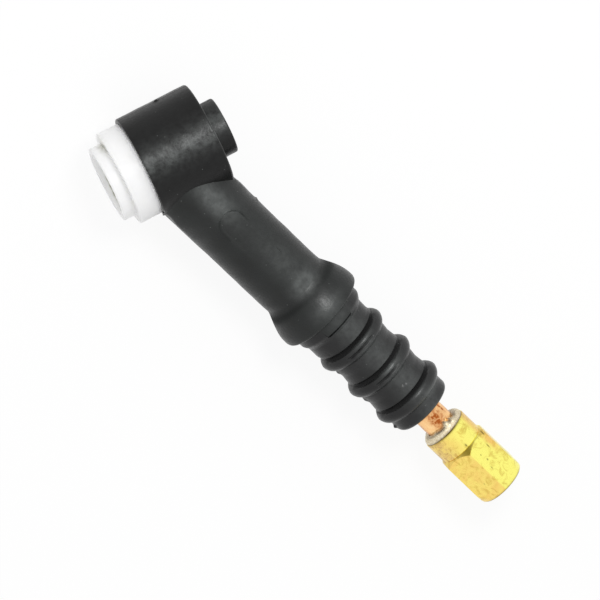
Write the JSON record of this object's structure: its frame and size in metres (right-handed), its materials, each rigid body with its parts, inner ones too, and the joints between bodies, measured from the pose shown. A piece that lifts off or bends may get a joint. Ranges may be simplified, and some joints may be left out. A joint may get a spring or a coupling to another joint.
{
  "type": "tig torch body",
  "caption": "Angled TIG welding torch body: white cup insulator, black head, neck that bends by hand, ribbed handle seat, copper tube and brass hexagonal cable connector.",
  "frame": {"origin": "where the head axis crosses the neck axis, inside the collet body's bore", "axes": "+X runs down the neck to the cable connector; the head axis lies in the XY plane, 70 degrees from +X, its back cap end towards +Y; +Z is square to both, and the torch lies on its side on a surface below -Z"},
  "size_m": [0.1134, 0.0301, 0.022],
  "materials": {
    "ptfe_white": "turned PTFE, waxy",
    "rubber_black": "moulded silicone rubber, satin",
    "rubber_grey": "moulded silicone rubber, satin, slightly greyer",
    "rubber_seat": "hard moulded rubber, satin",
    "brass": "machined, slightly tarnished",
    "copper": "drawn copper, heat stained",
    "silver_solder": "brazed fillet, dull and grainy"
  },
  "bodies": {
    "handle_end": {"handle_seat": "rubber_seat", "neck_boot": "rubber_grey", "neck_coupling": "brass", "coupling_braze": "silver_solder", "rear_tube": "copper", "braze_ring": "silver_solder", "cable_connector": "brass"},
    "neck_middle": {"flex_tube": "copper"},
    "head_end": {"head_block": "brass", "head_braze": "silver_solder", "head_cover": "rubber_black", "cup_insulator": "ptfe_white"}
  },
  "joints": [
    {"name": "neck_bend_in_plane", "type": "hinge", "parent": "handle_end", "child": "neck_middle", "pos_m": [0.0335, 0, 0], "axis": [0, 0, 1], "range_deg": [-35, 35], "deforming": ["neck_boot", "flex_tube"]},
    {"name": "neck_bend_sideways", "type": "hinge", "parent": "neck_middle", "child": "head_end", "pos_m": [0.0225, 0, 0], "axis": [0, 1, 0], "range_deg": [-35, 35], "deforming": ["neck_boot", "flex_tube"]}
  ]
}
